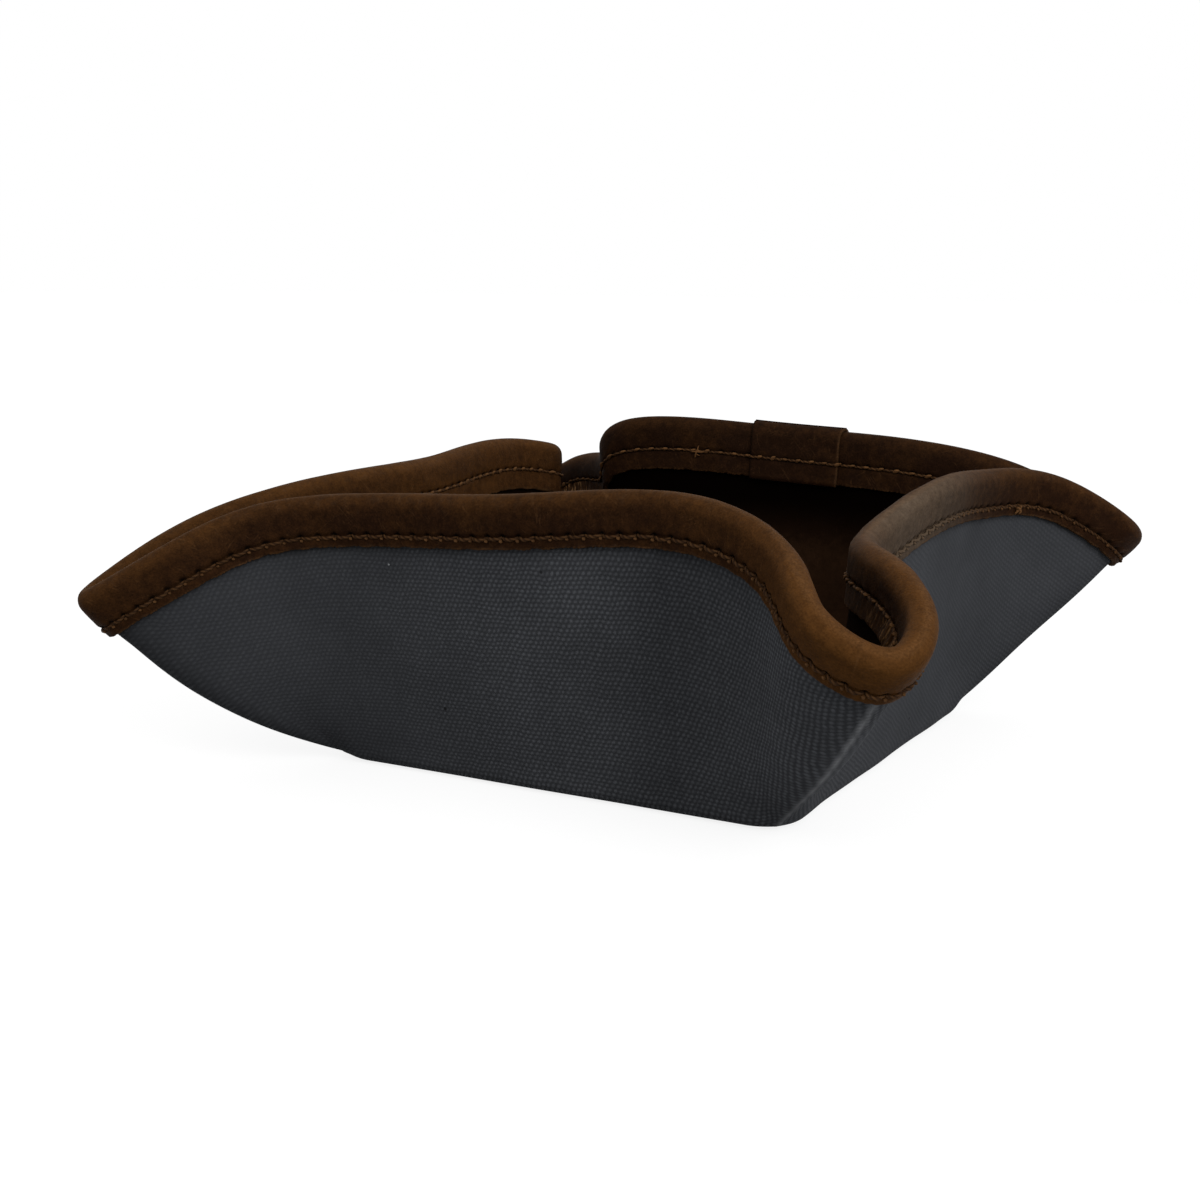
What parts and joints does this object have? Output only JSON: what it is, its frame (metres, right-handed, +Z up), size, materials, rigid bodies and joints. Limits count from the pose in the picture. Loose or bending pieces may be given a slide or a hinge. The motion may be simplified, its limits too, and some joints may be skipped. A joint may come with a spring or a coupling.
{
  "type": "valet tray",
  "caption": "Soft square valet tray: canvas outside, leather lining, flared walls, corners drawn out into open ears, stitched leather strip folded over the rim.",
  "frame": {"origin": "middle of the base, on the table", "axes": "+Z up, -Y the front side, +X the right side; the ears point along the diagonals"},
  "size_m": [0.1581, 0.1567, 0.0585],
  "materials": {
    "canvas": "waxed plain-weave duck, matt charcoal grey",
    "lining_leather": "smooth dark brown leather, satin",
    "binding_leather": "oiled pull-up leather, brown, lightly scuffed",
    "thread": "waxed brown polyester sewing thread"
  },
  "bodies": {
    "root": {"canvas_shell": "canvas", "leather_lining": "lining_leather", "rim_binding": "binding_leather", "binding_lap": "binding_leather", "needle_thread": "thread", "bobbin_thread": "thread"}
  },
  "joints": []
}
